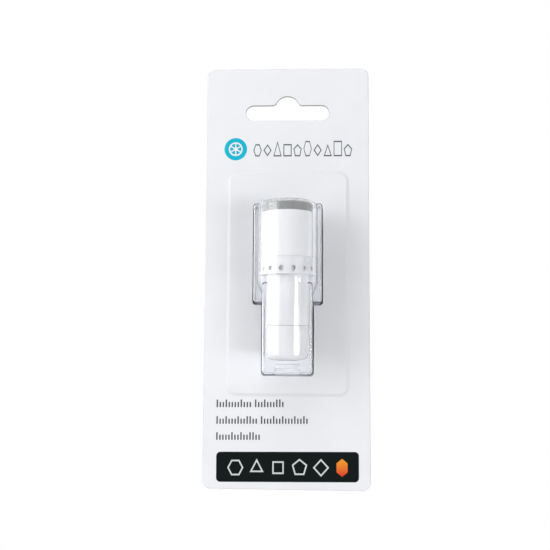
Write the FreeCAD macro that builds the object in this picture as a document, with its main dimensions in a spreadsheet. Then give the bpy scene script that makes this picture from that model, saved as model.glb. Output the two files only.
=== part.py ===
import FreeCAD, Part
import math
import os
import Sketcher

# A rotary blade tool for a desktop craft cutter, sealed in its clear blister on a hang card.
#
# Frame: the origin is the hang point, at the top of the card's hang slot, on the card's back
# face. +X is to the right as the front is read, +Y points out of the card's back, +Z is up.
# The tool's own pieces are drawn in the tool's frame, whose origin is the middle of the guard
# cap's underside and whose +Z is the tool's axis, and are then placed in the blister.

SIZES = [
    # the card
    ("card_width", 62.0),
    ("card_height", 159.0),
    ("card_top", 10.9),
    ("card_corner", 3.0),
    ("ply", 0.45),
    ("die_edge", 0.25),
    ("slot_width", 32.0),
    ("slot_height", 5.9),
    ("slot_drop", 3.6),
    ("slot_blend", 1.5),
    ("hair", 0.001),
    # the blister
    ("film", 0.35),
    ("rim_width", 44.4),
    ("rim_height", 83.0),
    ("rim_drop", 30.3),
    ("rim_corner", 3.0),
    ("rim_play", 0.1),
    ("press_slope", 1.2),
    ("window_play", 0.4),
    ("blister_shift", 0.3),
    ("tray_width", 24.7),
    ("tray_height", 35.6),
    ("tray_drop", 43.8),
    ("tray_depth", 11.6),
    ("tray_corner", 0.9),
    ("tray_edge", 0.77),
    ("draft", 0.5),
    ("dome_radius", 10.7),
    ("dome_length", 28.7),
    ("dome_soft", 1.5),
    ("throat_length", 6.0),
    ("channel_width", 17.35),
    ("channel_drop", 72.6),
    ("channel_end", 103.8),
    ("channel_draft", 0.8),
    ("channel_roof_draft", 3.0),
    ("channel_foot_draft", 2.5),
    ("channel_corner", 1.3),
    ("channel_edge", 1.1),
    ("channel_foot_corner", 1.2),
    ("foot_width", 7.8),
    ("foot_taper", 0.7),
    ("foot_drop", 101.05),
    ("foot_step", 1.85),
    ("foot_depth", 14.0),
    ("foot_step_depth", 2.0),
    # the tool's outside
    ("axis_depth", 11.4),
    ("nose_drop", 99.4),
    ("barrel_radius", 7.8),
    ("sleeve_radius", 9.17),
    ("lid_radius", 9.0),
    ("flange_radius", 10.05),
    ("nose_round", 2.3),
    ("seam_height", 12.15),
    ("seam_gap", 0.1),
    ("seam_edge", 0.14),
    ("flange_height", 29.5),
    ("flange_thick", 0.9),
    ("collar_top", 35.75),
    ("sleeve_top", 51.7),
    ("tool_top", 54.9),
    ("pocket_radius", 0.85),
    ("pocket_depth", 0.9),
    ("pocket_height", 31.7),
    # the tool's inside
    ("fit_gap", 0.02),
    ("sleeve_wall", 1.3),
    ("core_radius", 6.6),
    ("core_top", 50.0),
    ("spigot_radius", 6.75),
    ("spigot_end", 8.0),
    ("running_gap", 0.05),
    ("blade_room", 5.9),
    ("blade_room_top", 14.4),
    ("bearing_bore", 1.5),
    ("bearing_radius", 4.0),
    ("bearing_width", 3.0),
    ("lower_bearing", 14.8),
    ("upper_bearing", 33.8),
    ("ball_radius", 0.75),
    ("ball_circle", 2.75),
    ("race_land", 0.45),
    ("cage_wall", 0.6),
    ("neck_radius", 3.3),
    ("clip_thick", 0.5),
    ("thread_step", 0.6),
    ("retainer_height", 39.0),
    ("retainer_thick", 2.2),
    ("axle_height", 7.6),
    ("axle_radius", 0.75),
    ("trail", 0.8),
    ("wheel_radius", 4.5),
    ("wheel_thick", 0.4),
    ("cheek_gap", 1.4),
    ("cheek_thick", 0.7),
    ("crown_bottom", 12.6),
]

POCKETS = 14
BALLS = 7
POCKET_TURN = -0.5
CIRCLE = 360.0

doc = FreeCAD.newDocument("BladePack")
nodes = []


# ---------------------------------------------------------------- sizes


class Size:
    """A length held twice: as the sheet expression that gives it, and as its number."""

    def __init__(self, text, value):
        self.text = text
        self.value = value

    def joined(self, sign, other, value):
        return Size("(%s %s %s)" % (self.text, sign, other.text), value)

    def __add__(self, other):
        other = size(other)
        return self.joined("+", other, self.value + other.value)

    def __radd__(self, other):
        return size(other) + self

    def __sub__(self, other):
        other = size(other)
        return self.joined("-", other, self.value - other.value)

    def __rsub__(self, other):
        return size(other) - self

    def __mul__(self, other):
        other = size(other)
        return self.joined("*", other, self.value * other.value)

    def __rmul__(self, other):
        return size(other) * self

    def __truediv__(self, other):
        other = size(other)
        return self.joined("/", other, self.value / other.value)

    def __neg__(self):
        return size(0) - self


def size(value):
    """Any plain number as a Size."""
    if isinstance(value, Size):
        return value
    return Size("(%g)" % value, float(value))


class Sizes:
    """The sheet's lengths, each under its own name."""


def write_sheet():
    """The driving dimensions, one row each: the name, then the aliased cell."""
    sheet = doc.addObject("Spreadsheet::Sheet", "Sizes")
    named = Sizes()
    for row, (name, value) in enumerate(SIZES, start=1):
        sheet.set("A%d" % row, name)
        sheet.set("B%d" % row, "%g" % value)
        sheet.setAlias("B%d" % row, name)
        setattr(named, name, Size("Sizes.%s" % name, value))
    doc.recompute()
    return named


d = write_sheet()


# ---------------------------------------------------------------- document helpers


def bind(thing, **sizes):
    """Binds each property of the thing to its size; a double underscore stands for a dot."""
    for name, value in sizes.items():
        thing.setExpression(name.replace("__", "."), size(value).text)
    return thing


def keep(thing, label):
    """Names a finished sub-part and keeps it for the export."""
    thing.Label = label
    nodes.append(thing)
    return thing


def put_in_tool(thing, y=0, z=0, x=0):
    """Places a piece that was drawn in the tool's frame."""
    bind(thing, Placement__Base__x=x + d.blister_shift)
    return bind(thing, Placement__Base__y=y - d.axis_depth, Placement__Base__z=z - d.nose_drop)


def cylinder(name, radius, height, z=0, y=0):
    """An upright cylinder in the tool, standing on height z."""
    made = doc.addObject("Part::Cylinder", name)
    bind(made, Radius=radius, Height=height)
    return put_in_tool(made, y, z)


def cut(label, base, tool):
    """The base less the tool."""
    made = doc.addObject("Part::Cut", label)
    made.Base = base
    made.Tool = tool
    return made


def fuse(label, shapes):
    """All the shapes as one solid."""
    made = doc.addObject("Part::MultiFuse", label)
    made.Shapes = shapes
    return made


def group(label, shapes):
    """Separate solids that share one node."""
    made = doc.addObject("Part::Compound", label)
    made.Links = shapes
    return made


def tube(label, outer, inner, height, z):
    """An upright tube in the tool."""
    overshoot = 1.0
    wall = cylinder(label + "_wall", outer, height, z)
    bore = cylinder(label + "_bore", inner, height + 2 * overshoot, z - overshoot)
    return cut(label, wall, bore)


def new_body(label):
    """An empty body that will hold one sub-part."""
    return keep(doc.addObject("PartDesign::Body", label), label)


def own_plane(body, role):
    """The body's own origin plane with that role."""
    for feature in body.Origin.OriginFeatures:
        if feature.Role == role:
            return feature
    raise ValueError("no plane " + role)


def new_sketch(body, role, name, across=0, up=0, lift=0):
    """A sketch on the body's own plane, moved across, up and along the plane's normal."""
    sketch = body.newObject("Sketcher::SketchObject", name)
    sketch.AttachmentSupport = (own_plane(body, role), [""])
    sketch.MapMode = "FlatFace"
    bind(
        sketch,
        AttachmentOffset__Base__x=across,
        AttachmentOffset__Base__y=up,
        AttachmentOffset__Base__z=lift,
    )
    return sketch


def constrain(sketch, kind, *where):
    """One constraint; where its last entry is a size, the constraint follows the sheet."""
    if isinstance(where[-1], Size):
        index = sketch.addConstraint(Sketcher.Constraint(kind, *where[:-1], where[-1].value))
        sketch.setExpression("Constraints[%d]" % index, where[-1].text)
    else:
        sketch.addConstraint(Sketcher.Constraint(kind, *where))


def hold_point(sketch, edge, end, x, y):
    """Holds one end of an edge at x across and y up from the sketch's origin."""
    if x.value == 0:
        constrain(sketch, "PointOnObject", edge, end, -2)
    else:
        constrain(sketch, "DistanceX", -1, 1, edge, end, x)
    if y.value == 0:
        constrain(sketch, "PointOnObject", edge, end, -1)
    else:
        constrain(sketch, "DistanceY", -1, 1, edge, end, y)


def draw_polygon(sketch, points):
    """A closed outline with straight sides through the points, each held by its sizes."""
    corners = [(size(x), size(y)) for x, y in points]
    places = [FreeCAD.Vector(x.value, y.value, 0) for x, y in corners]
    count = len(corners)
    for at in range(count):
        sketch.addGeometry(Part.LineSegment(places[at], places[(at + 1) % count]), False)
    for at in range(count):
        constrain(sketch, "Coincident", at, 2, (at + 1) % count, 1)
        hold_point(sketch, at, 1, *corners[at])


def draw_circle(sketch, radius):
    """A circle about the sketch's origin."""
    radius = size(radius)
    middle = FreeCAD.Vector(0, 0, 0)
    sketch.addGeometry(Part.Circle(middle, FreeCAD.Vector(0, 0, 1), radius.value), False)
    constrain(sketch, "Coincident", 0, 3, -1, 1)
    constrain(sketch, "Radius", 0, radius)


def draw_rounded(sketch, width, height, corner):
    """A rectangle with round corners, centred on the sketch's origin."""
    width, height, corner = size(width), size(height), size(corner)
    x, y, r = width.value / 2, height.value / 2, corner.value
    normal = FreeCAD.Vector(0, 0, 1)
    sides = [
        ((r - x, -y), (x - r, -y)),
        ((x, r - y), (x, y - r)),
        ((x - r, y), (r - x, y)),
        ((-x, y - r), (-x, r - y)),
    ]
    middles = [(x - r, r - y), (x - r, y - r), (r - x, y - r), (r - x, r - y)]
    for start, end in sides:
        line = Part.LineSegment(FreeCAD.Vector(*start, 0), FreeCAD.Vector(*end, 0))
        sketch.addGeometry(line, False)
    for turn, middle in enumerate(middles):
        circle = Part.Circle(FreeCAD.Vector(*middle, 0), normal, r)
        start = (turn - 1) * math.pi / 2
        sketch.addGeometry(Part.ArcOfCircle(circle, start, start + math.pi / 2), False)
    for turn in range(4):
        constrain(sketch, "Tangent", turn, 2, 4 + turn, 1)
        constrain(sketch, "Tangent", 4 + turn, 2, (turn + 1) % 4, 1)
    for level, upright in ((0, 1), (2, 3)):
        constrain(sketch, "Horizontal", level)
        constrain(sketch, "Vertical", upright)
    for turn in range(1, 4):
        constrain(sketch, "Equal", 4, 4 + turn)
    constrain(sketch, "Radius", 4, corner)
    constrain(sketch, "DistanceX", 3, 1, 1, 1, width)
    constrain(sketch, "DistanceY", 0, 1, 2, 1, height)
    constrain(sketch, "Symmetric", 4, 3, 6, 3, -1, 1)


def pad(body, sketch, name, length):
    """Adds the sketch's area along its normal."""
    made = body.newObject("PartDesign::Pad", name)
    made.Profile = sketch
    return bind(made, Length=length)


def pocket_through(body, sketch, name):
    """Cuts the sketch's area right through the body, both ways."""
    made = body.newObject("PartDesign::Pocket", name)
    made.Profile = sketch
    made.Type = "ThroughAll"
    made.Midplane = True
    return made


def pocket(body, sketch, name, length, forward):
    """Cuts the sketch's area to a depth; forward is along the sketch's normal."""
    made = body.newObject("PartDesign::Pocket", name)
    made.Profile = sketch
    made.Reversed = forward
    return bind(made, Length=length)


def turn(body, points):
    """Turns an outline of (radius, height) points about the body's upright axis."""
    sketch = new_sketch(body, "XZ_Plane", body.Label + "_outline")
    draw_polygon(sketch, points)
    made = body.newObject("PartDesign::Revolution", body.Label + "_turned")
    made.Profile = sketch
    made.ReferenceAxis = (sketch, ["V_Axis"])
    made.Angle = CIRCLE
    return made


def turned(label, points):
    """A turned or moulded round piece in the tool."""
    body = new_body(label)
    turn(body, points)
    return put_in_tool(body)


def repeat(body, feature, count):
    """Repeats a feature evenly round the body's upright axis."""
    doc.recompute()
    pattern = body.newObject("PartDesign::PolarPattern", feature.Name + "_ring")
    pattern.Originals = [feature]
    for axis in body.Origin.OriginFeatures:
        if axis.Role == "Z_Axis":
            pattern.Axis = (axis, [""])
    pattern.Angle = CIRCLE
    pattern.Occurrences = count
    body.Tip = pattern
    return pattern


def edges_where(feature, wanted):
    """The names of the feature's edges for which wanted(edge) holds."""
    edges = enumerate(feature.Shape.Edges, start=1)
    return ["Edge%d" % at for at, edge in edges if wanted(edge)]


def dress(body, kind, name, base, edges, radius):
    """A fillet or chamfer of the named edges."""
    made = body.newObject("PartDesign::" + kind, name)
    made.Base = (base, edges)
    bind(made, **{"Radius" if kind == "Fillet" else "Size": radius})
    return made


# ---------------------------------------------------------------- the card


def cut_hang_slot(body, face):
    """The hang slot: a long slot with a round hump in the middle of its upper edge. The card's
    face at that depth gets a rounded rim."""
    hump = (d.slot_drop + d.slot_height) / 2
    band_middle = -(d.slot_drop + d.slot_height / 2)
    band = new_sketch(body, "XZ_Plane", body.Label + "_band", up=band_middle)
    draw_rounded(band, d.slot_width, d.slot_height, d.slot_height / 2 - d.hair)
    pocket_through(body, band, body.Label + "_slot")
    circle = new_sketch(body, "XZ_Plane", body.Label + "_hump", up=-hump)
    draw_circle(circle, hump)
    cut_hump = pocket_through(body, circle, body.Label + "_hump_cut")
    doc.recompute()

    def is_hump_corner(edge):
        middle = edge.BoundBox.Center
        upright = edge.BoundBox.XLength + edge.BoundBox.ZLength < 0.01
        near_hump = 1.0 < abs(middle.x) < hump.value + 0.1
        return upright and near_hump and abs(middle.z + d.slot_drop.value) < 0.05

    corners = edges_where(cut_hump, is_hump_corner)
    blended = dress(body, "Fillet", body.Label + "_blend", cut_hump, corners, d.slot_blend)
    doc.recompute()
    slot_bottom = d.slot_drop.value + d.slot_height.value

    def is_slot_rim(edge):
        box = edge.BoundBox
        on_face = abs(box.YMin + face.value) < 0.01 and abs(box.YMax + face.value) < 0.01
        in_slot = box.ZMax < 0.1 and box.ZMin > -slot_bottom - 0.1
        return on_face and in_slot

    rim = edges_where(blended, is_slot_rim)
    dress(body, "Fillet", body.Label + "_slot_rim", blended, rim, d.die_edge)


def round_die_edge(body, feature, depth):
    """Rounds the edges that the cutting die pressed, at a depth in front of the card's back."""
    doc.recompute()

    def is_pressed(edge):
        box = edge.BoundBox
        return abs(box.YMin + depth.value) < 0.01 and abs(box.YMax + depth.value) < 0.01

    pressed = edges_where(feature, is_pressed)
    return dress(body, "Fillet", body.Label + "_die_edge", feature, pressed, d.die_edge)


def rear_card():
    """The plain ply that closes the blister's back."""
    body = new_body("rear_card")
    middle = d.card_top - d.card_height / 2
    outline = new_sketch(body, "XZ_Plane", "rear_outline", up=middle)
    draw_rounded(outline, d.card_width, d.card_height, d.card_corner)
    ply = pad(body, outline, "rear_ply", d.ply)
    round_die_edge(body, ply, size(0))
    cut_hang_slot(body, size(0))


def front_card():
    """The printed ply: it is pressed out over the blister's rim, and its window lets the
    blister through."""
    body = new_body("front_card")
    middle = d.card_top - d.card_height / 2
    rim_middle = -(d.rim_drop + d.rim_height / 2)
    play = 2 * d.rim_play
    outline = new_sketch(body, "XZ_Plane", "front_outline", up=middle, lift=d.ply)
    draw_rounded(outline, d.card_width, d.card_height, d.card_corner)
    ply = pad(body, outline, "front_ply", d.ply)
    round_die_edge(body, ply, 2 * d.ply)
    shift = d.blister_shift
    raised = new_sketch(body, "XZ_Plane", "raised_outline", shift, rim_middle, d.ply)
    skirt = 0.75 * d.press_slope
    draw_rounded(raised, d.rim_width + 2 * skirt, d.rim_height + 2 * skirt, d.rim_corner + skirt)
    panel = pad(body, raised, "raised_panel", d.ply + d.film)
    doc.recompute()
    front = -(2 * d.ply.value + d.film.value)

    def is_panel_rim(edge):
        box = edge.BoundBox
        return abs(box.YMin - front) < 0.01 and abs(box.YMax - front) < 0.01

    rim_edges = edges_where(panel, is_panel_rim)
    pressed = dress(body, "Chamfer", "pressed_edge", panel, rim_edges, d.film * 0.9)
    pressed.ChamferType = "Two distances"
    bind(pressed, Size2=d.press_slope)
    hollow = new_sketch(body, "XZ_Plane", "rim_outline", shift, rim_middle, d.ply)
    draw_rounded(hollow, d.rim_width + play, d.rim_height + play, d.rim_corner)
    pocket(body, hollow, "rim_hollow", d.film, True)
    for name, width, top, bottom, corner in window_parts():
        hole = new_sketch(body, "XZ_Plane", name + "_outline", shift, -(top + bottom) / 2)
        draw_rounded(hole, width, bottom - top, corner + d.window_play)
        pocket_through(body, hole, name)
    cut_hang_slot(body, 2 * d.ply)


def window_parts():
    """The window's two overlapping rectangles: name, width, upper and lower drop, corner."""
    play = d.window_play
    tray_width = d.tray_width + 2 * (d.draft + play)
    tray_top = d.tray_drop - d.draft - play
    tray_bottom = d.tray_drop + d.tray_height + d.draft + play
    channel_width = d.channel_width + 2 * (d.channel_draft + play)
    channel_bottom = d.channel_end + d.channel_foot_draft + play
    return [
        ("tray_window", tray_width, tray_top, tray_bottom, d.tray_corner),
        ("channel_window", channel_width, d.channel_drop, channel_bottom, d.channel_foot_corner),
    ]


# ---------------------------------------------------------------- the blister


def flat_outline(name, depth, width, top, bottom, corner):
    """A rounded rectangle that faces the front, at a depth in front of the card's back."""
    sketch = doc.addObject("Sketcher::SketchObject", name)
    draw_rounded(sketch, width, bottom - top, corner)
    facing = FreeCAD.Rotation(FreeCAD.Vector(1, 0, 0), 90)
    sketch.Placement = FreeCAD.Placement(FreeCAD.Vector(), facing)
    bind(sketch, Placement__Base__x=d.blister_shift)
    return bind(sketch, Placement__Base__y=-depth, Placement__Base__z=-(top + bottom) / 2)


def drafted_block(name, back, front, width, top, bottom, drafts, corners):
    """A block that narrows from the card to its front face, with that front face's size. The
    drafts are those of its sides, top and bottom; the corners, those at the card and in front."""
    side_draft, top_draft, bottom_draft = drafts
    back_corner, front_corner = corners
    foot_width = width + 2 * side_draft
    foot_top, foot_bottom = top - top_draft, bottom + bottom_draft
    foot = flat_outline(name + "_foot", back, foot_width, foot_top, foot_bottom, back_corner)
    face = flat_outline(name + "_face", front, width, top, bottom, front_corner)
    loft = doc.addObject("Part::Loft", name)
    loft.Sections = [foot, face]
    loft.Solid = True
    loft.Ruled = True
    return loft


def soften(thing, radius, wanted):
    """Rounds the edges whose bounding box is wanted."""
    doc.recompute()
    rounded = doc.addObject("Part::Fillet", thing.Name + "_soft")
    rounded.Base = thing
    edges = enumerate(thing.Shape.Edges, start=1)
    chosen = [at for at, edge in edges if wanted(edge.BoundBox)]
    rounded.Edges = [(at, radius.value, radius.value) for at in chosen]
    return rounded


def soften_front(block, front, radius):
    """Rounds the edges of a block's front face."""

    def is_front(box):
        return abs(box.YMin + front.value) < 0.01 and abs(box.YMax + front.value) < 0.01

    return soften(block, radius, is_front)


def dome(name, radius, wall):
    """The round front over the tool, which narrows to the channel below the flange."""
    top = d.nose_drop - d.tray_drop - wall
    waist = d.nose_drop - d.tray_drop - d.dome_length
    narrow = d.barrel_radius + d.film * 2 - wall
    barrel = cylinder(name + "_round", radius, top - waist, waist)
    soft_barrel = soften(barrel, d.dome_soft - wall, lambda box: box.ZMin > -d.tray_drop.value - 1)
    throat = doc.addObject("Part::Cone", name + "_throat")
    bind(throat, Radius1=narrow, Radius2=radius, Height=d.throat_length)
    put_in_tool(throat, 0, waist - d.throat_length)
    return fuse(name, [soft_barrel, throat])


def foot_notch(name, wall):
    """The notch under the tool's nose: a ledge in front, and a lower, deeper step."""
    side = d.foot_width / 2 + wall
    low_side = side - d.foot_taper
    below = d.channel_end + 4
    step_back = d.foot_depth - d.foot_step_depth
    steps = []
    levels = [
        ("ledge", d.foot_depth - wall, d.axis_depth * 2, d.foot_drop - wall),
        ("step", step_back - wall, d.axis_depth * 2, d.foot_drop + d.foot_step - wall),
    ]
    for tag, back, front, top in levels:
        wedge = doc.addObject("Part::Wedge", name + "_" + tag)
        bind(wedge, Xmin=-low_side, Xmax=low_side, X2min=-side, X2max=side)
        bind(wedge, Ymin=0, Ymax=below - top, Zmin=0, Zmax=front - back)
        bind(wedge, Z2min=0, Z2max=front - back)
        upright = FreeCAD.Rotation(FreeCAD.Vector(1, 0, 0), 90)
        wedge.Placement = FreeCAD.Placement(FreeCAD.Vector(), upright)
        bind(wedge, Placement__Base__x=d.blister_shift)
        bind(wedge, Placement__Base__y=-back, Placement__Base__z=-below)
        steps.append(wedge)
    return fuse(name, steps)


def blister_form(name, wall):
    """The blister's outer form where wall is 0, and its hollow where wall is the film."""
    channel_depth = d.axis_depth + d.barrel_radius + 2 * d.film
    tray_back = d.ply - wall
    tray = drafted_block(
        name + "_tray",
        tray_back,
        d.tray_depth - wall,
        d.tray_width - 2 * wall,
        d.tray_drop + wall,
        d.tray_drop + d.tray_height - wall,
        (d.draft, d.draft, d.draft),
        (d.tray_corner - wall, d.tray_corner - wall),
    )
    channel = drafted_block(
        name + "_channel",
        tray_back,
        channel_depth - wall,
        d.channel_width - 2 * wall,
        d.channel_drop + wall,
        d.channel_end - wall,
        (d.channel_draft, d.channel_roof_draft, d.channel_foot_draft),
        (d.channel_foot_corner - wall, d.channel_corner - wall),
    )
    soft_tray = soften_front(tray, d.tray_depth - wall, d.tray_edge - wall)
    soft_channel = soften_front(channel, channel_depth - wall, d.channel_edge - wall)
    rounds = dome(name + "_dome", d.dome_radius - wall, wall)
    whole = fuse(name + "_whole", [soft_tray, soft_channel, rounds])
    return cut(name, whole, foot_notch(name + "_notch", wall))


def blister_shell():
    """The clear formed shell, with the flat rim that the two plies trap."""
    rim_end = d.rim_drop + d.rim_height
    rim_outline = flat_outline(
        "rim_edge", d.ply, d.rim_width, d.rim_drop, rim_end, d.rim_corner
    )
    rim = doc.addObject("Part::Extrusion", "rim")
    rim.Base = rim_outline
    rim.DirMode = "Normal"
    rim.Solid = True
    bind(rim, LengthFwd=d.film)
    outer = fuse("blister_outer", [rim, blister_form("outer_form", size(0))])
    keep(cut("blister_shell", outer, blister_form("inner_form", d.film)), "blister_shell")


# ---------------------------------------------------------------- the tool's housing


def guard_cap():
    """The push-on cap over the blade, with a rounded nose."""
    floor = 1.0
    bore = d.spigot_radius + d.running_gap
    top = d.seam_height - d.seam_gap
    body = new_body("guard_cap")
    shell = turn(
        body,
        [
            (0, 0),
            (d.barrel_radius, 0),
            (d.barrel_radius, top - d.seam_edge),
            (d.barrel_radius - d.seam_edge, top),
            (bore, top),
            (bore, d.nose_round + floor),
            (bore - d.nose_round + floor / 2, floor),
            (0, floor),
        ],
    )
    doc.recompute()
    rim = edges_where(shell, lambda edge: edge.BoundBox.ZMax < d.hair.value)
    dress(body, "Fillet", "rounded_nose", shell, rim, d.nose_round)
    put_in_tool(body)


def main_barrel():
    """The moulded barrel: spigot and blade room below, both bearing seats inside, and the
    core that carries the collar and the sleeve above."""
    seat = d.bearing_radius + d.fit_gap / 2
    thread = d.bearing_radius + d.thread_step
    turned(
        "main_barrel",
        [
            (d.spigot_radius, d.spigot_end),
            (d.spigot_radius, d.seam_height),
            (d.barrel_radius - d.seam_edge, d.seam_height),
            (d.barrel_radius, d.seam_height + d.seam_edge),
            (d.barrel_radius, d.flange_height),
            (d.core_radius, d.flange_height),
            (d.core_radius, d.core_top),
            (thread, d.core_top),
            (thread, d.retainer_height),
            (seat, d.retainer_height),
            (seat, d.upper_bearing),
            (d.neck_radius, d.upper_bearing),
            (d.neck_radius, d.lower_bearing + d.bearing_width),
            (seat, d.lower_bearing + d.bearing_width),
            (seat, d.blade_room_top),
            (d.blade_room, d.blade_room_top),
            (d.blade_room, d.spigot_end),
        ],
    )


def index_collar():
    """The flanged collar with a ring of small pockets."""
    bore = d.core_radius + d.fit_gap
    shoulder = d.flange_height + d.flange_thick
    edge = 0.3
    body = turned(
        "index_collar",
        [
            (bore, d.flange_height),
            (d.flange_radius - edge, d.flange_height),
            (d.flange_radius, d.flange_height + edge),
            (d.flange_radius, shoulder),
            (d.sleeve_radius, shoulder),
            (d.sleeve_radius, d.collar_top),
            (bore, d.collar_top),
        ],
    )
    reach = d.sleeve_radius + 1
    mouth = new_sketch(body, "XZ_Plane", "pocket_mouth", up=d.pocket_height, lift=reach)
    draw_circle(mouth, d.pocket_radius)
    drilled = pocket(body, mouth, "index_pocket", d.pocket_depth + 1, False)
    repeat(body, drilled, POCKETS)
    turned_by = FreeCAD.Rotation(FreeCAD.Vector(0, 0, 1), CIRCLE / POCKETS / 2 + POCKET_TURN)
    body.Placement.Rotation = turned_by


def upper_sleeve():
    """The white sleeve above the collar, which stands on its own inner ledge."""
    wall = d.sleeve_wall
    ledge = 1.5
    bore = d.core_radius + d.fit_gap
    edge = 0.25
    turned(
        "upper_sleeve",
        [
            (bore, d.collar_top),
            (d.sleeve_radius - edge, d.collar_top),
            (d.sleeve_radius, d.collar_top + edge),
            (d.sleeve_radius, d.sleeve_top),
            (d.sleeve_radius - wall, d.sleeve_top),
            (d.sleeve_radius - wall, d.collar_top + ledge),
            (bore, d.collar_top + ledge),
        ],
    )


def top_cap():
    """The grey lid, whose skirt plugs into the sleeve; its middle is dished."""
    skirt = d.sleeve_radius - d.sleeve_wall - d.fit_gap
    skirt_wall = 0.8
    skirt_length = 4.0
    roof = 1.2
    edge = 0.4
    dish_radius = 3.0
    dish_depth = 0.8
    turned(
        "top_cap",
        [
            (0, d.tool_top - dish_depth),
            (dish_radius, d.tool_top - dish_depth),
            (dish_radius + dish_depth, d.tool_top),
            (d.lid_radius - edge, d.tool_top),
            (d.lid_radius, d.tool_top - edge),
            (d.lid_radius, d.sleeve_top),
            (skirt, d.sleeve_top),
            (skirt, d.sleeve_top - skirt_length),
            (skirt - skirt_wall, d.sleeve_top - skirt_length),
            (skirt - skirt_wall, d.tool_top - dish_depth - roof),
            (0, d.tool_top - dish_depth - roof),
        ],
    )


def retainer_ring():
    """The screwed ring that holds the bearings in, with two holes for a pin spanner."""
    outer = d.bearing_radius + d.thread_step - d.fit_gap / 2
    inner = 2.4
    hole = 0.45
    hole_circle = 3.4
    body = turned(
        "retainer_ring",
        [
            (inner, d.retainer_height),
            (outer, d.retainer_height),
            (outer, d.retainer_height + d.retainer_thick),
            (inner, d.retainer_height + d.retainer_thick),
        ],
    )
    top = d.retainer_height + d.retainer_thick
    mouth = new_sketch(body, "XY_Plane", "spanner_mouth", across=hole_circle, lift=top)
    draw_circle(mouth, hole)
    drilled = pocket(body, mouth, "spanner_hole", 1.4, False)
    repeat(body, drilled, 2)


def preload_washer():
    """The coned spring washer between the upper bearing and the retaining ring."""
    low = d.upper_bearing + d.bearing_width
    high = d.retainer_height
    outer = d.bearing_radius - 0.05
    inner = 2.7
    thick = 0.25
    turned(
        "preload_washer",
        [
            (outer, low),
            (outer, low + thick),
            (inner, high),
            (inner, high - thick),
        ],
    )


# ---------------------------------------------------------------- the bearings


def race(label, outer, inner, z):
    """One bearing ring with the ball groove turned into it."""
    ring = tube(label + "_ring", outer, inner, d.bearing_width, z)
    groove = doc.addObject("Part::Torus", label + "_groove")
    bind(groove, Radius1=d.ball_circle, Radius2=d.ball_radius + 0.03)
    put_in_tool(groove, 0, z + d.bearing_width / 2)
    keep(cut(label, ring, groove), label)


def ball_ring(name, z):
    """A ring of balls in the middle of a bearing, the first of them on +X."""
    balls = []
    for at in range(BALLS):
        ball = doc.addObject("Part::Sphere", "%s_%d" % (name, at))
        bind(ball, Radius=d.ball_radius)
        angle = CIRCLE * at / BALLS
        across = d.ball_circle * math.cos(math.radians(angle))
        along = d.ball_circle * math.sin(math.radians(angle))
        put_in_tool(ball, along, z + d.bearing_width / 2, across)
        balls.append(ball)
    return balls


def bearing(tag, z):
    """A small ball bearing: two races, a ring of balls and the cage that spaces them."""
    race(tag + "_outer_race", d.bearing_radius, d.ball_circle + d.race_land, z)
    race(tag + "_inner_race", d.ball_circle - d.race_land, d.bearing_bore, z)
    keep(group(tag + "_balls", ball_ring(tag + "_ball", z)), tag + "_balls")
    cage(tag + "_cage", z + d.bearing_width / 2)


def cage(label, middle):
    """The ring that spaces a bearing's balls, with a round hole for each of them."""
    half_height = d.ball_radius + 0.25
    inner = d.ball_circle - d.cage_wall / 2
    outer = d.ball_circle + d.cage_wall / 2
    reach = 1
    body = turned(
        label,
        [
            (inner, middle - half_height),
            (outer, middle - half_height),
            (outer, middle + half_height),
            (inner, middle + half_height),
        ],
    )
    mouth = new_sketch(body, "XZ_Plane", label + "_mouth", up=middle, lift=outer + reach)
    draw_circle(mouth, d.ball_radius + 0.04)
    drilled = pocket(body, mouth, label + "_hole", d.cage_wall + 2 * reach, False)
    repeat(body, drilled, BALLS)
    body.Placement.Rotation = FreeCAD.Rotation(FreeCAD.Vector(0, 0, 1), CIRCLE / 4)


# ---------------------------------------------------------------- the swivel and the blade


def swivel_shaft():
    """The shaft that turns in both bearings, with a groove for its clip."""
    fit = d.bearing_bore - d.fit_gap / 2
    groove = 0.3
    clip_low = d.upper_bearing + d.bearing_width
    clip_high = clip_low + d.clip_thick
    top = clip_high + 0.9
    edge = 0.3
    turned(
        "swivel_shaft",
        [
            (0, d.crown_bottom),
            (fit, d.crown_bottom),
            (fit, clip_low),
            (fit - groove, clip_low),
            (fit - groove, clip_high),
            (fit, clip_high),
            (fit, top - edge),
            (fit - edge, top),
            (0, top),
        ],
    )


def shaft_spacer():
    """The tube that keeps the two inner races apart."""
    low = d.lower_bearing + d.bearing_width
    length = d.upper_bearing - low
    spacer = tube("shaft_spacer", d.bearing_bore + 0.7, d.bearing_bore, length, low)
    keep(spacer, "shaft_spacer")


def clip(label, outer, inner, thick):
    """An open ring that snaps into a groove, drawn lying flat on its own origin."""
    opening = 70.0
    wall = doc.addObject("Part::Cylinder", label + "_wall")
    wall.Angle = CIRCLE - opening
    bind(wall, Radius=outer, Height=thick)
    bore = doc.addObject("Part::Cylinder", label + "_bore")
    bind(bore, Radius=inner, Height=thick + 2, Placement__Base__z=-1)
    return keep(cut(label, wall, bore), label)


def shaft_clip():
    """The clip above the upper bearing."""
    ring = clip("shaft_clip", d.bearing_bore + 0.7, d.bearing_bore - 0.3, d.clip_thick)
    put_in_tool(ring, 0, d.upper_bearing + d.bearing_width)


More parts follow.
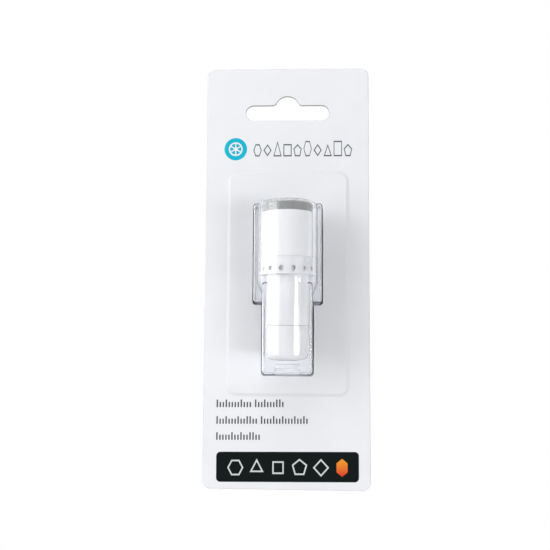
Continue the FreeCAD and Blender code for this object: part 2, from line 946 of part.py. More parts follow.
def blade_fork():
    """The trailing fork: a crown on the shaft and two cheeks that carry the axle."""
    body = new_body("blade_fork")
    boss_radius = 2.1
    crown_thick = 1.3
    crown_length = 5.4
    cheek_round = 1.7
    width = d.cheek_gap + 2 * d.cheek_thick
    crown = new_sketch(body, "XY_Plane", "crown_outline", up=d.trail / 2, lift=d.crown_bottom)
    draw_rounded(crown, width + 0.8, crown_length, 0.8)
    pad(body, crown, "crown", crown_thick)
    boss = new_sketch(body, "XY_Plane", "boss_outline", lift=d.crown_bottom)
    draw_circle(boss, boss_radius)
    pad(body, boss, "boss", d.lower_bearing - d.crown_bottom)
    for side, tag in ((-1, "left"), (1, "right")):
        inner = side * (d.cheek_gap + d.cheek_thick) / 2
        cheek = new_sketch(
            body,
            "YZ_Plane",
            tag + "_cheek_outline",
            across=d.trail,
            up=(d.crown_bottom + 0.4 + d.axle_height - cheek_round) / 2,
            lift=inner - d.cheek_thick / 2,
        )
        height = d.crown_bottom + 0.4 - d.axle_height + cheek_round
        draw_rounded(cheek, 2 * cheek_round, height, cheek_round - 0.05)
        pad(body, cheek, tag + "_cheek", d.cheek_thick)
    axle = new_sketch(body, "YZ_Plane", "axle_hole_outline", across=d.trail, up=d.axle_height)
    draw_circle(axle, d.axle_radius)
    pocket_through(body, axle, "axle_hole")
    shaft = new_sketch(body, "XY_Plane", "shaft_hole_outline", lift=d.lower_bearing)
    draw_circle(shaft, d.bearing_bore - d.fit_gap / 2)
    pocket(body, shaft, "shaft_hole", d.lower_bearing - d.crown_bottom, False)
    put_in_tool(body)


def lay_on_axle(thing, start):
    """Turns an upright piece to lie along +X on the blade's axle, from x = start."""
    sideways = FreeCAD.Rotation(FreeCAD.Vector(0, 1, 0), 90)
    thing.Placement = FreeCAD.Placement(FreeCAD.Vector(), sideways)
    return put_in_tool(thing, d.trail, d.axle_height, start)


def blade_axle():
    """The headed pin that the blade turns on, with a groove for its clip."""
    body = new_body("blade_axle")
    head_radius = 1.2
    head = 0.4
    groove = 0.2
    span = d.cheek_gap + 2 * d.cheek_thick
    clip_low = head + span + 0.05
    clip_high = clip_low + d.clip_thick * 0.6
    turn(
        body,
        [
            (0, 0),
            (head_radius, 0),
            (head_radius, head),
            (d.axle_radius, head),
            (d.axle_radius, clip_low),
            (d.axle_radius - groove, clip_low),
            (d.axle_radius - groove, clip_high),
            (d.axle_radius, clip_high),
            (d.axle_radius, clip_high + 0.3),
            (0, clip_high + 0.3),
        ],
    )
    lay_on_axle(body, -span / 2 - head)


def axle_clip():
    """The clip on the axle's far end."""
    span = d.cheek_gap + 2 * d.cheek_thick
    ring = clip("axle_clip", d.axle_radius + 0.6, d.axle_radius - 0.2, d.clip_thick * 0.6)
    lay_on_axle(ring, span / 2 + 0.05)


def blade_wheel():
    """The round blade, ground to a sharp rim from both sides."""
    body = new_body("blade_wheel")
    bevel = 0.9
    rim = 0.04
    middle = d.wheel_thick / 2
    bore = d.axle_radius + d.running_gap
    turn(
        body,
        [
            (bore, 0),
            (d.wheel_radius - bevel, 0),
            (d.wheel_radius, middle - rim / 2),
            (d.wheel_radius, middle + rim / 2),
            (d.wheel_radius - bevel, d.wheel_thick),
            (bore, d.wheel_thick),
        ],
    )
    lay_on_axle(body, -middle)


def blade_bushes():
    """The two washers that centre the blade between the cheeks."""
    gap = 0.05
    thick = (d.cheek_gap - d.wheel_thick) / 2 - 2 * gap
    washers = []
    for side, tag in ((-1, "left"), (1, "right")):
        wall = doc.addObject("Part::Cylinder", tag + "_bush_wall")
        bind(wall, Radius=d.axle_radius + 0.7, Height=thick)
        bore = doc.addObject("Part::Cylinder", tag + "_bush_bore")
        bind(bore, Radius=d.axle_radius + d.fit_gap / 2, Height=thick + 2, Placement__Base__z=-1)
        washer = cut(tag + "_bush", wall, bore)
        middle = side * (d.wheel_thick / 2 + gap + thick / 2)
        lay_on_axle(washer, middle - thick / 2)
        washers.append(washer)
    keep(group("blade_bushes", washers), "blade_bushes")


# ---------------------------------------------------------------- build and export


def check_document():
    """Stops if a feature failed or a sub-part has no sound shape."""
    for thing in doc.Objects:
        if "Invalid" in thing.State or "Error" in thing.State:
            raise RuntimeError("failed: %s (%s)" % (thing.Name, thing.State))
    for node in nodes:
        if node.Shape.isNull() or not node.Shape.isValid() or not node.Shape.Solids:
            raise RuntimeError("no sound shape: " + node.Label)


def main():
    rear_card()
    front_card()
    blister_shell()
    guard_cap()
    main_barrel()
    index_collar()
    upper_sleeve()
    top_cap()
    retainer_ring()
    preload_washer()
    for tag, z in (("upper", d.upper_bearing), ("lower", d.lower_bearing)):
        bearing(tag, z)
    swivel_shaft()
    shaft_spacer()
    shaft_clip()
    blade_fork()
    blade_axle()
    axle_clip()
    blade_wheel()
    blade_bushes()
    doc.recompute()
    check_document()
    os.makedirs("parts", exist_ok=True)
    for node in nodes:
        shape = node.Shape
        shape.exportStep("parts/%s.step" % node.Label)
        print("%-18s %2d solid(s) %9.2f mm3" % (node.Label, len(shape.Solids), shape.Volume))


main()
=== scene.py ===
import math

import bmesh
import bpy
from mathutils import Matrix, Vector

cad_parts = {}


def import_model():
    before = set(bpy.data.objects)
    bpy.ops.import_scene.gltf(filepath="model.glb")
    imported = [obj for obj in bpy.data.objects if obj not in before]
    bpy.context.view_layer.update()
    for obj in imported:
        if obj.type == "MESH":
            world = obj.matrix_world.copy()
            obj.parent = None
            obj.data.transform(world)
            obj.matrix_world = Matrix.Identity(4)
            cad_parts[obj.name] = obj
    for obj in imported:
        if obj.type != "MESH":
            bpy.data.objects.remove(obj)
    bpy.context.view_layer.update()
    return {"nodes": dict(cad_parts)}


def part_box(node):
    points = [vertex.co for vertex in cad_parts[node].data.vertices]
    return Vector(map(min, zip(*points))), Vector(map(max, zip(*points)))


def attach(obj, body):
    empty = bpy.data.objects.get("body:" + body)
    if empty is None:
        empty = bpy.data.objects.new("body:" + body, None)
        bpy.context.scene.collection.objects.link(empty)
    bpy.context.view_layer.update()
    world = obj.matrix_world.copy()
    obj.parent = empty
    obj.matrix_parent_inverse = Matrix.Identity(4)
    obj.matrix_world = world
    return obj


# A rotary blade tool in its clear blister on a white hang card.
# Lengths are metres in the frame of the CAD model: the origin is the hang point on the card's
# back, +X is to the right as the front is read, +Y points out of the back, +Z is up the card.

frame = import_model()

MM = 0.001


def box_of(node):
    """The node's lowest and highest corners at rest, as vectors."""
    low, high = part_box(node)
    return Vector(low), Vector(high)


card_low, card_high = box_of("rear_card")
tool_low, tool_high = box_of("main_barrel")
TOOL_MIDDLE = (tool_low + tool_high) / 2
PLY = card_high.y - card_low.y
CARD_FRONT = card_low.y - PLY
CARD_BOTTOM = card_low.z


# ---------------------------------------------------------------- shader tools

# Most of a noise pattern's values lie in this range.
NOISE_RANGE = (0.3, 0.7)
SMOOTHEST = 0.02
DEFAULT_COAT_ROUGHNESS = 0.03
# A Mix node's colour sockets, which share their names with its other sockets.
MIX_FIRST, MIX_SECOND, MIX_RESULT = 6, 7, 2


def scaled(colour, share):
    """A lighter or darker shade of a colour."""
    return tuple(min(1.0, part * share) for part in colour)


def map_range(tree, value, low, high, start=0.0, end=1.0, smooth=False):
    """The value's place between low and high, as a number from start to end."""
    made = tree.nodes.new("ShaderNodeMapRange")
    if smooth:
        made.interpolation_type = "SMOOTHSTEP"
    tree.links.new(value, made.inputs["Value"])
    numbers = {"From Min": low, "From Max": high, "To Min": start, "To Max": end}
    for name, number in numbers.items():
        made.inputs[name].default_value = number
    return made.outputs["Result"]


def by_ray(tree, kind, usual, special, surface):
    """Gives the surface the special shader for one kind of ray, and else the usual one."""
    mix = tree.nodes.new("ShaderNodeMixShader")
    rays = tree.nodes.new("ShaderNodeLightPath")
    tree.links.new(rays.outputs[kind], mix.inputs["Fac"])
    tree.links.new(usual, mix.inputs[1])
    tree.links.new(special, mix.inputs[2])
    tree.links.new(mix.outputs[0], surface)


class Material:
    """A node material under construction: a Principled shader and the patterns that feed it."""

    def __init__(
        self,
        name,
        base,
        roughness,
        metallic=0.0,
        coat=0.0,
        coat_roughness=DEFAULT_COAT_ROUGHNESS,
        ior=1.5,
    ):
        self.made = bpy.data.materials.new(name)
        self.made.use_nodes = True
        self.tree = self.made.node_tree
        self.shader = self.tree.nodes["Principled BSDF"]
        self.surface = self.tree.nodes["Material Output"].inputs["Surface"]
        self.shader.inputs["Base Color"].default_value = (*base, 1)
        self.shader.inputs["Roughness"].default_value = roughness
        self.shader.inputs["Metallic"].default_value = metallic
        self.shader.inputs["Coat Weight"].default_value = coat
        self.shader.inputs["Coat Roughness"].default_value = coat_roughness
        self.shader.inputs["IOR"].default_value = ior
        self.base = base
        self.roughness = roughness
        self.height = None
        self.place = self.tree.nodes.new("ShaderNodeTexCoord").outputs["Object"]

    def node(self, kind, **inputs):
        """A new node with its sockets linked to other nodes' outputs or set to values."""
        made = self.tree.nodes.new(kind)
        for name, value in inputs.items():
            self.feed(made.inputs[name], value)
        return made

    def feed(self, socket, value):
        if isinstance(value, bpy.types.NodeSocket):
            self.tree.links.new(value, socket)
        else:
            socket.default_value = value

    def noise(self, scale, detail=3.0, stretch=(1, 1, 1)):
        """Cloudy noise with `scale` features to the metre, multiplied along X, Y and Z."""
        place = self.node("ShaderNodeMapping", Vector=self.place, Scale=stretch)
        made = self.node(
            "ShaderNodeTexNoise",
            Vector=place.outputs["Vector"],
            Scale=scale,
            Detail=detail,
        )
        return made.outputs["Fac"]

    def mix(self, amount, first, second):
        """One colour or another, by amount."""
        made = self.tree.nodes.new("ShaderNodeMix")
        made.data_type = "RGBA"
        self.feed(made.inputs["Factor"], amount)
        for slot, colour in ((MIX_FIRST, first), (MIX_SECOND, second)):
            if not isinstance(colour, bpy.types.NodeSocket):
                colour = (*colour, 1)
            self.feed(made.inputs[slot], colour)
        return made.outputs[MIX_RESULT]

    def colour(self, value):
        self.tree.links.new(value, self.shader.inputs["Base Color"])

    def mottle(self, scale, depth, detail=4.0, stretch=(1, 1, 1)):
        """Varies the base colour a little, lighter and darker."""
        spread = map_range(self.tree, self.noise(scale, detail, stretch), *NOISE_RANGE)
        dark, light = scaled(self.base, 1 - depth), scaled(self.base, 1 + depth)
        self.colour(self.mix(spread, dark, light))

    def rough(self, scale, spread, stretch=(1, 1, 1)):
        """Varies the roughness about its own value."""
        low = max(self.roughness - spread, SMOOTHEST)
        high = self.roughness + spread
        noise = self.noise(scale, stretch=stretch)
        value = map_range(self.tree, noise, *NOISE_RANGE, low, high)
        self.tree.links.new(value, self.shader.inputs["Roughness"])

    def bump(self, value, depth):
        """Raises the surface by up to depth metres where the value is 1."""
        made = self.node("ShaderNodeBump", Height=value, Distance=depth, Strength=1.0)
        if self.height is not None:
            self.tree.links.new(self.height, made.inputs["Normal"])
        self.height = made.outputs["Normal"]
        self.tree.links.new(self.height, self.shader.inputs["Normal"])

    def facing_y(self, least, most):
        """0 on faces that lean away from the Y axis, rising to 1 on faces that look along it."""
        normal = self.tree.nodes.new("ShaderNodeTexCoord").outputs["Normal"]
        parts = self.node("ShaderNodeSeparateXYZ", Vector=normal)
        facing = self.tree.nodes.new("ShaderNodeMath")
        facing.operation = "ABSOLUTE"
        self.tree.links.new(parts.outputs["Y"], facing.inputs[0])
        return map_range(self.tree, facing.outputs[0], least, most)

    def height_between(self, low, high):
        """0 to 1 up the piece, between two heights."""
        parts = self.node("ShaderNodeSeparateXYZ", Vector=self.place)
        return map_range(self.tree, parts.outputs["Z"], low, high)


# ---------------------------------------------------------------- materials

FIBRE_DEPTH = 0.004 * MM
CLOUD_SHADES = (0.985, 1.01)
# Painted shade: the share of the board's colour that is left on its slightly leaning crease
# faces.
PAINTED_CREASE_SHADE = 0.90
# The Y parts of a face's normal between which its colour changes, at a crease and a cut edge.
# Both changes are painted shade; the edge's is laid over its fibre grain.
CREASE_FACING = (0.95, 0.995)
EDGE_FACING = (0.6, 0.97)
# The cut edge's fibre colours, made dark as painted shade of the rim.
EDGE_FIBRE_AND_SHADE_DARK = (0.30, 0.30, 0.30)
EDGE_FIBRE_AND_SHADE_LIGHT = (0.42, 0.42, 0.43)
# The noise patterns for tool marks are multiplied along X, Y and Z like this.
TURNED = (1.0, 1.0, 14.0)
GROUND = (14.0, 1.0, 1.0)
TOOL_MARKS = 3000
PLASTIC_IOR = 1.49
WAVE_DEPTH = 0.006 * MM


def fibre(made):
    """The board's fine grain."""
    return made.noise(scale=5200, detail=5.0, stretch=(1.0, 1.0, 0.35))


def paperboard(name, base):
    """Board with a fine fibre grain, a faint cloudiness, painted shade on its creases, and a cut
    edge darkened well past its fibre's colour as painted shade.
    """
    made = Material(name, base, roughness=0.6)
    cloud = map_range(made.tree, made.noise(scale=70), *NOISE_RANGE)
    grain = fibre(made)
    flat = made.mix(cloud, *(scaled(base, shade) for shade in CLOUD_SHADES))
    # Painted shade: faces that lean slightly at a crease are darkened.
    face = made.mix(made.facing_y(*CREASE_FACING), scaled(base, PAINTED_CREASE_SHADE), flat)
    # The cut edge: its fibre grain between two dark colours, which are dark as painted shade.
    edge_fibre_and_shade = made.mix(grain, EDGE_FIBRE_AND_SHADE_DARK, EDGE_FIBRE_AND_SHADE_LIGHT)
    made.colour(made.mix(made.facing_y(*EDGE_FACING), edge_fibre_and_shade, face))
    made.rough(scale=900, spread=0.06)
    made.bump(grain, FIBRE_DEPTH)
    made.bump(made.noise(scale=45, detail=2.0), depth=0.05 * MM)
    return made.made


def moulded(name, base, roughness, grain=2600, grain_depth=0.0012 * MM, **coat):
    """Moulded plastic with a faint orange peel and slight unevenness of shade."""
    made = Material(name, base, roughness, ior=PLASTIC_IOR, **coat)
    made.mottle(scale=160, depth=0.012)
    made.rough(scale=420, spread=0.05)
    made.bump(made.noise(grain), grain_depth)
    made.bump(made.noise(scale=170, detail=2.0), WAVE_DEPTH)
    return made.made


def milky_plastic():
    """Plastic that lets a little light in, so it is softer and greyer than the white."""
    made = moulded("milky_plastic", (0.74, 0.74, 0.755), roughness=0.3)
    shader = made.node_tree.nodes["Principled BSDF"]
    shader.inputs["Subsurface Weight"].default_value = 0.25
    shader.inputs["Subsurface Radius"].default_value = (1.0, 0.95, 0.9)
    shader.inputs["Subsurface Scale"].default_value = 0.8 * MM
    return made


def clear_film():
    """Clear formed film, very slightly wavy from the mould. Light passes it to what is behind,
    a little dimmed."""
    made = Material("clear_film", (0.935, 0.938, 0.954), roughness=0.0, ior=PLASTIC_IOR)
    made.shader.inputs["Transmission Weight"].default_value = 1.0
    made.shader.inputs["Specular Tint"].default_value = (0.5, 0.5, 0.52, 1)
    made.bump(made.noise(scale=220, detail=2.0), WAVE_DEPTH)
    made.bump(made.noise(scale=1500, detail=2.0), depth=0.0012 * MM)
    shade = made.tree.nodes.new("ShaderNodeBsdfTransparent")
    shade.inputs["Color"].default_value = (0.955, 0.96, 0.965, 1)
    usual, special = made.shader.outputs[0], shade.outputs[0]
    by_ray(made.tree, "Is Shadow Ray", usual, special, made.surface)
    return made.made


def metal(name, base, roughness, stretch=(1, 1, 1)):
    """Metal with fine tool marks, stretched the way the tool ran."""
    made = Material(name, base, roughness, metallic=1.0)
    made.mottle(TOOL_MARKS, depth=0.06, detail=3.0, stretch=stretch)
    made.rough(TOOL_MARKS, spread=0.08, stretch=stretch)
    made.bump(made.noise(TOOL_MARKS * 2, stretch=stretch), depth=0.002 * MM)
    return made.made


def ink(name, base, roughness=0.4, ior=1.4):
    """Printed ink with the board's grain showing through."""
    made = Material(name, base, roughness, ior=ior)
    made.mottle(scale=1800, depth=0.05)
    made.bump(fibre(made), FIBRE_DEPTH)
    return made


def shaded_ink(name, low_colour, high_colour, low, high):
    """Ink that runs from one colour at height low to another at height high."""
    made = ink(name, low_colour)
    made.colour(made.mix(made.height_between(low, high), low_colour, high_colour))
    return made.made


CARD = paperboard("coated_card", (0.845, 0.855, 0.885))
WHITE = moulded(
    "white_plastic", (0.85, 0.85, 0.86), roughness=0.12, coat=1.0, coat_roughness=0.05
)
GREY = moulded(
    "grey_plastic",
    (0.29, 0.297, 0.286),
    roughness=0.3,
    grain=5200,
    grain_depth=0.004 * MM,
    coat=0.6,
    coat_roughness=0.12,
)
STEEL = metal("ground_steel", (0.62, 0.62, 0.64), 0.24, TURNED)
SPRING = metal("spring_steel", (0.26, 0.27, 0.31), 0.3)
BALLS = metal("ball_steel", (0.75, 0.75, 0.77), 0.08)
CAGE = metal("pressed_steel", (0.56, 0.53, 0.45), 0.3)

FINISHES = {
    "front_card": CARD,
    "rear_card": CARD,
    "blister_shell": clear_film(),
    "guard_cap": WHITE,
    "main_barrel": WHITE,
    "upper_sleeve": WHITE,
    "index_collar": milky_plastic(),
    "top_cap": GREY,
    "retainer_ring": metal("brass", (0.72, 0.53, 0.24), 0.3, TURNED),
    "preload_washer": SPRING,
    "upper_outer_race": STEEL,
    "upper_inner_race": STEEL,
    "upper_balls": BALLS,
    "upper_cage": CAGE,
    "lower_outer_race": STEEL,
    "lower_inner_race": STEEL,
    "lower_balls": BALLS,
    "lower_cage": CAGE,
    "swivel_shaft": STEEL,
    "shaft_spacer": metal("aluminium", (0.72, 0.73, 0.75), 0.34, TURNED),
    "shaft_clip": SPRING,
    "blade_fork": metal("fork_steel", (0.50, 0.51, 0.53), 0.38),
    "blade_axle": STEEL,
    "axle_clip": SPRING,
    "blade_wheel": metal("blade_steel", (0.66, 0.67, 0.69), 0.16, GROUND),
    "blade_bushes": moulded("black_plastic", (0.03, 0.03, 0.032), roughness=0.4),
}
for node, material in FINISHES.items():
    for slot in frame["nodes"][node].material_slots:
        slot.material = material


# ---------------------------------------------------------------- print on the card

INK_DEPTH = 0.02 * MM
PRINT_LEAN = math.radians(0.7)


def band(mesh, first, second):
    """The faces between two loops with the same number of points."""
    for at in range(len(first)):
        after = (at + 1) % len(first)
        mesh.faces.new((first[at], first[after], second[after], second[at]))


def printed(name, outlines, material, layer=0, lean=0.0):
    """Thin printed shapes on the card's face, as one piece, over `layer` others. Each outline is
    a list of loops of (x, z) points: one loop for a solid shape, two for a stroke between.
    The print rises towards the right by the angle `lean`."""
    mesh = bmesh.new()
    base = CARD_FRONT - layer * INK_DEPTH
    rise = math.tan(lean)
    for outline in outlines:
        backs, fronts = (
            [[mesh.verts.new((x, y, z + x * rise)) for x, z in loop] for loop in outline]
            for y in (base, base - INK_DEPTH)
        )
        if len(outline) == 1:
            mesh.faces.new(fronts[0])
            mesh.faces.new(backs[0][::-1])
        else:
            band(mesh, *backs)
            band(mesh, *fronts)
        for back, front in zip(backs, fronts):
            band(mesh, back, front)
    bmesh.ops.recalc_face_normals(mesh, faces=mesh.faces)
    data = bpy.data.meshes.new(name)
    mesh.to_mesh(data)
    mesh.free()
    piece = bpy.data.objects.new(name, data)
    bpy.context.collection.objects.link(piece)
    data.materials.append(material)
    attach(piece, "pack")


def ring(x, z, radius, count, turn=0.0, squeeze=1.0):
    """A regular outline of `count` points about (x, z), narrowed by `squeeze`."""
    angles = [turn + 2 * math.pi * at / count for at in range(count)]
    return [(x + radius * squeeze * math.cos(a), z + radius * math.sin(a)) for a in angles]


def rounded(x0, z0, x1, z1, radius, steps=6):
    """A rectangle with round corners."""
    points = []
    corners = [(x1 - radius, z1 - radius), (x0 + radius, z1 - radius)]
    corners += [(x0 + radius, z0 + radius), (x1 - radius, z0 + radius)]
    for quarter, (x, z) in enumerate(corners):
        for at in range(steps + 1):
            angle = (quarter + at / steps) * math.pi / 2
            points.append((x + radius * math.cos(angle), z + radius * math.sin(angle)))
    return points


def bar(x, z, angle, start, end, width):
    """A straight bar that points away from (x, z), between two distances."""
    c, s = math.cos(angle), math.sin(angle)
    half = width / 2
    corners = ((start, -half), (end, -half), (end, half), (start, half))
    return [(x + reach * c - side * s, z + reach * s + side * c) for reach, side in corners]


def stroke(x, z, radius, width, count, turn=0.0, squeeze=1.0):
    """A regular outline drawn with an even stroke."""
    inner = radius - width / math.cos(math.pi / count)
    return [ring(x, z, size, count, turn, squeeze) for size in (radius, inner)]


GREY_INK = ink("grey_ink", (0.10, 0.105, 0.12)).made
TEXT_INK = ink("dark_ink", (0.05, 0.05, 0.058)).made
TEAL_INK = ink("teal_ink", (0.0, 0.47, 0.64)).made
BADGE_INK = ink("badge_ink", (0.003, 0.007, 0.0065), roughness=0.5, ior=1.22).made
LIGHT_INK = ink("light_ink", (0.60, 0.66, 0.64)).made
CARD_INK = ink("card_ink", (0.84, 0.85, 0.87)).made

# Outlines, each as its number of corners and its turn.
HEXAGON = (6, 0.0)
DIAMOND = (4, 0.0)
TRIANGLE = (3, math.pi / 2)
SQUARE = (4, math.pi / 4)
PENTAGON = (5, math.pi / 2)
UPRIGHT_HEXAGON = (6, math.pi / 6)

EMBLEM_X = -19.85 * MM
EMBLEM_Z = -20.6 * MM
EMBLEM_RADIUS = 4.35 * MM
EMBLEM_POINTS = 96
WHEEL_RIM = 0.62 * EMBLEM_RADIUS
WHEEL_HUB = 0.18 * EMBLEM_RADIUS
WHEEL_LINE = 0.13 * EMBLEM_RADIUS
RIM_POINTS = 48
HUB_POINTS = 24
SPOKES = 6
SPOKE_WIDTH = 0.8 * WHEEL_LINE
SPOKE_TURN = math.pi / 6


def emblem():
    """A plain round sign: a disc with a wheel in it."""
    x, z = EMBLEM_X, EMBLEM_Z
    printed("emblem_disc", [[ring(x, z, EMBLEM_RADIUS, EMBLEM_POINTS)]], TEAL_INK)
    wheel = [stroke(x, z, WHEEL_RIM, WHEEL_LINE, RIM_POINTS)]
    wheel.append([ring(x, z, WHEEL_HUB, HUB_POINTS)])
    for at in range(SPOKES):
        angle = SPOKE_TURN + 2 * math.pi * at / SPOKES
        wheel.append([bar(x, z, angle, WHEEL_HUB, WHEEL_RIM - WHEEL_LINE, SPOKE_WIDTH)])
    printed("emblem_wheel", wheel, CARD_INK, layer=1)


ROW_LEFT = -13.4 * MM
ROW_RIGHT = 25.0 * MM
ROW_LOW = -23.5 * MM
ROW_KINDS = [HEXAGON, DIAMOND, TRIANGLE, SQUARE, PENTAGON]
ROW_HEIGHTS = [4.8 * MM, 4.8 * MM, 6.0 * MM]
ROW_COUNT = 10
ROW_PITCH = (ROW_RIGHT - ROW_LEFT) / ROW_COUNT
ROW_WIDEST = 0.82 * ROW_PITCH
ROW_STROKE = 0.5 * MM


def row_of_shapes():
    """Outlined shapes to cut, in a row beside the sign, all standing on one line."""
    shapes = []
    for at in range(ROW_COUNT):
        corners, turn = ROW_KINDS[at % len(ROW_KINDS)]
        across, up = zip(*ring(0, 0, 1.0, corners, turn))
        radius = ROW_HEIGHTS[at % len(ROW_HEIGHTS)] / (max(up) - min(up))
        squeeze = min(1.0, ROW_WIDEST / (radius * (max(across) - min(across))))
        x = ROW_LEFT + ROW_PITCH * (at + 0.5)
        z = ROW_LOW - min(up) * radius
        shapes.append(stroke(x, z, radius, ROW_STROKE, corners, turn, squeeze))
    printed("row_of_shapes", shapes, GREY_INK)


TEXT_LEFT = -26.0 * MM
TICK_WIDTH = 0.5 * MM
TICK_GAP = 0.62 * MM
TICK_LOW = 1.95 * MM
TICK_HIGH = 2.85 * MM
TICK_CORNER = 0.2 * MM
TICK_CORNER_STEPS = 3
WORD_GAP = 0.9 * MM
TICK_LINES = {
    "print_line_1": (-118.15 * MM, ["100100001000", "1001000110"]),
    "print_line_2": (-124.25 * MM, ["10010001001100", "1000100100010010"]),
    "print_line_3": (-130.1 * MM, ["100001001001100"]),
}


def tick_line(name, base, words):
    """A line of plain ticks in word-like runs. Each word gives its ticks: 1 tall, 0 short."""
    shapes = []
    x = TEXT_LEFT
    for word in words:
        for tall in word:
            right, top = x + TICK_WIDTH, base + (TICK_HIGH if tall == "1" else TICK_LOW)
            shapes.append([rounded(x, base, right, top, TICK_CORNER, TICK_CORNER_STEPS)])
            x = right + TICK_GAP
        x += WORD_GAP
    printed(name, shapes, TEXT_INK, lean=PRINT_LEAN)


BADGE_LEFT = -25.9 * MM
BADGE_RIGHT = 26.7 * MM
BADGE_LOW = -145.3 * MM
BADGE_HIGH = -134.4 * MM
BADGE_CORNER = 1.5 * MM
BADGE_ROW = -140.1 * MM
BADGE_KINDS = [HEXAGON, TRIANGLE, SQUARE, PENTAGON, DIAMOND]
BADGE_SHAPE = 3.25 * MM
BADGE_STROKE = 0.56 * MM
BADGE_PITCH = 7.9 * MM
BADGE_FIRST = BADGE_LEFT + 0.9 * BADGE_PITCH
BADGE_SQUEEZE = 0.92
ACCENT_X = BADGE_RIGHT - 1.9 * BADGE_SHAPE
ACCENT_SQUEEZE = 0.72
ACCENT_FADE = 0.8 * BADGE_SHAPE
EMBER_RED = (0.72, 0.035, 0.012)
EMBER_ORANGE = (0.86, 0.30, 0.02)


def badge():
    """The dark badge with a row of light outlines and one orange shape."""
    plate = rounded(BADGE_LEFT, BADGE_LOW, BADGE_RIGHT, BADGE_HIGH, BADGE_CORNER)
    printed("badge_plate", [[plate]], BADGE_INK, lean=PRINT_LEAN)
    shapes = []
    for at, (corners, turn) in enumerate(BADGE_KINDS):
        x = BADGE_FIRST + BADGE_PITCH * at
        shapes.append(
            stroke(x, BADGE_ROW, BADGE_SHAPE, BADGE_STROKE, corners, turn, BADGE_SQUEEZE)
        )
    printed("badge_shapes", shapes, LIGHT_INK, layer=1, lean=PRINT_LEAN)
    leaf = ring(ACCENT_X, BADGE_ROW, BADGE_SHAPE, *UPRIGHT_HEXAGON, ACCENT_SQUEEZE)
    low, high = BADGE_ROW - ACCENT_FADE, BADGE_ROW + ACCENT_FADE
    ember = shaded_ink("ember_ink", EMBER_RED, EMBER_ORANGE, low, high)
    printed("badge_accent", [[leaf]], ember, layer=1, lean=PRINT_LEAN)


emblem()
row_of_shapes()
for line, (base, words) in TICK_LINES.items():
    tick_line(line, base, words)
badge()


# ---------------------------------------------------------------- stage, camera, light

FLOOR_DROP = 0.06
FLOOR_SIZE = 8.0
FLOOR_FRONT = -0.26
FLOOR_CELLS = 8


def white_to_the_eye(tree, usual, surface):
    """Plain white for what the camera sees directly, so that the stage has no edge."""
    plain = tree.nodes.new("ShaderNodeEmission")
    plain.inputs["Color"].default_value = (1, 1, 1, 1)
    by_ray(tree, "Is Camera Ray", usual, plain.outputs[0], surface)


def stage():
    """A pale floor well below the pack, which hangs free."""
    mesh = bmesh.new()
    bmesh.ops.create_grid(
        mesh, x_segments=FLOOR_CELLS, y_segments=FLOOR_CELLS, size=FLOOR_SIZE / 2
    )
    data = bpy.data.meshes.new("floor")
    mesh.to_mesh(data)
    mesh.free()
    floor = bpy.data.objects.new("floor", data)
    bpy.context.collection.objects.link(floor)
    floor.location = (0, FLOOR_FRONT + FLOOR_SIZE / 2, CARD_BOTTOM - FLOOR_DROP)
    made = Material("pale_floor", (0.6, 0.6, 0.6), roughness=0.8)
    made.mottle(scale=3, depth=0.004)
    white_to_the_eye(made.tree, made.shader.outputs[0], made.surface)
    data.materials.append(made.made)


ROOM_LIGHT = 0.445
DARK_SIDE = 0.03
RIGHT_SHARE = 0.7
# The room fades from dark to light between these parts of a direction along Y, and dims on the
# right between these parts along X.
DARK_FADE = (-0.97, -0.45)
RIGHT_FADE = (-0.3, 0.9)


def world():
    """A soft room, dark on the side that the pack's front faces, dimmer on the right, and white
    to the eye."""
    made = bpy.data.worlds.new("studio")
    made.use_nodes = True
    bpy.context.scene.world = made
    tree = made.node_tree
    place = tree.nodes.new("ShaderNodeTexCoord").outputs["Generated"]
    parts = tree.nodes.new("ShaderNodeSeparateXYZ")
    tree.links.new(place, parts.inputs[0])
    across, deep = parts.outputs["X"], parts.outputs["Y"]
    level = map_range(tree, deep, *DARK_FADE, DARK_SIDE, ROOM_LIGHT, smooth=True)
    dimmer = map_range(tree, across, *RIGHT_FADE, 1.0, RIGHT_SHARE, smooth=True)
    strength = tree.nodes.new("ShaderNodeMath")
    strength.operation = "MULTIPLY"
    tree.links.new(level, strength.inputs[0])
    tree.links.new(dimmer, strength.inputs[1])
    back = tree.nodes["Background"]
    back.inputs["Color"].default_value = (1, 1, 1, 1)
    tree.links.new(strength.outputs[0], back.inputs["Strength"])
    white_to_the_eye(tree, back.outputs[0], tree.nodes["World Output"].inputs["Surface"])


LIGHT_DISTANCE = 0.62


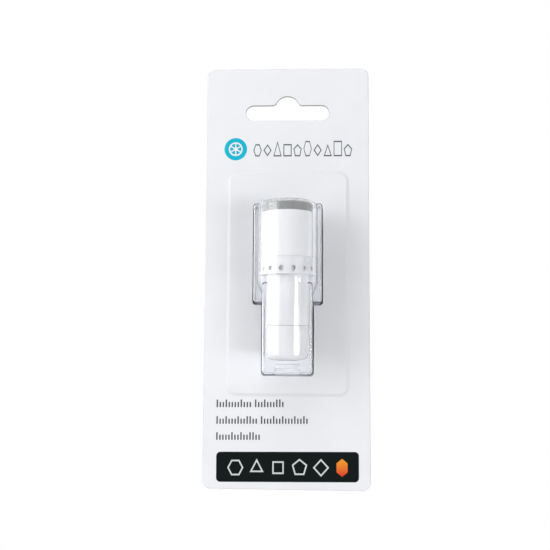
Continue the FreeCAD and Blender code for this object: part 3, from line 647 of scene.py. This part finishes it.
def panel_light(name, azimuth, elevation, width, height, brightness, shape="RECTANGLE"):
    """A soft panel that faces the tool from an azimuth, 0 in front and 90 on the right."""
    data = bpy.data.lights.new(name, "AREA")
    data.shape = shape
    data.size = width
    data.size_y = height
    data.energy = brightness * math.pi * width * height
    lamp = bpy.data.objects.new(name, data)
    bpy.context.collection.objects.link(lamp)
    a, e = math.radians(azimuth), math.radians(elevation)
    way = Vector((math.sin(a) * math.cos(e), -math.cos(a) * math.cos(e), math.sin(e)))
    lamp.location = TOOL_MIDDLE + way * LIGHT_DISTANCE
    lamp.rotation_mode = "QUATERNION"
    lamp.rotation_quaternion = (-way).to_track_quat("-Z", "Y")
    lamp.visible_camera = False


def lights():
    """The panels: azimuth and elevation in degrees, width, height and brightness."""
    panel_light("key", -60, 10, 0.4, 0.54, 3.95)
    panel_light("side_fill", -98, 6, 0.6, 0.5, 1.5)
    panel_light("top_fill", -10, 60, 0.5, 0.5, 1.85)
    panel_light("right_low", 47, -7, 0.27, 0.23, 7.5, "ELLIPSE")
    panel_light("right_edge", 108, 0, 0.3, 0.6, 0.25)
    panel_light("back_key", 140, 25, 0.7, 0.6, 0.95)
    panel_light("back_fill", 215, 15, 0.6, 0.6, 0.5)


CAMERA_PLACE = Vector((1.5, -189.2, -80.7)) * MM
CAMERA_AIM = Vector((-4.53, 0, -68.95)) * MM
CAMERA_ROLL = math.radians(0.32)
SENSOR = 36.0
IMAGE_PIXELS = 550
FOCAL_PIXELS = 500


def camera():
    """The photograph's view of the pack."""
    data = bpy.data.cameras.new("camera")
    data.sensor_width = SENSOR
    data.lens = SENSOR * FOCAL_PIXELS / IMAGE_PIXELS
    data.clip_start = 5 * MM
    made = bpy.data.objects.new("camera", data)
    bpy.context.collection.objects.link(made)
    made.location = CAMERA_PLACE
    made.rotation_mode = "QUATERNION"
    look = (CAMERA_AIM - CAMERA_PLACE).to_track_quat("-Z", "Y")
    roll = Matrix.Rotation(CAMERA_ROLL, 4, "Z").to_quaternion()
    made.rotation_quaternion = look @ roll
    bpy.context.scene.camera = made


stage()
world()
lights()
camera()
bpy.context.scene.view_settings.view_transform = "Standard"
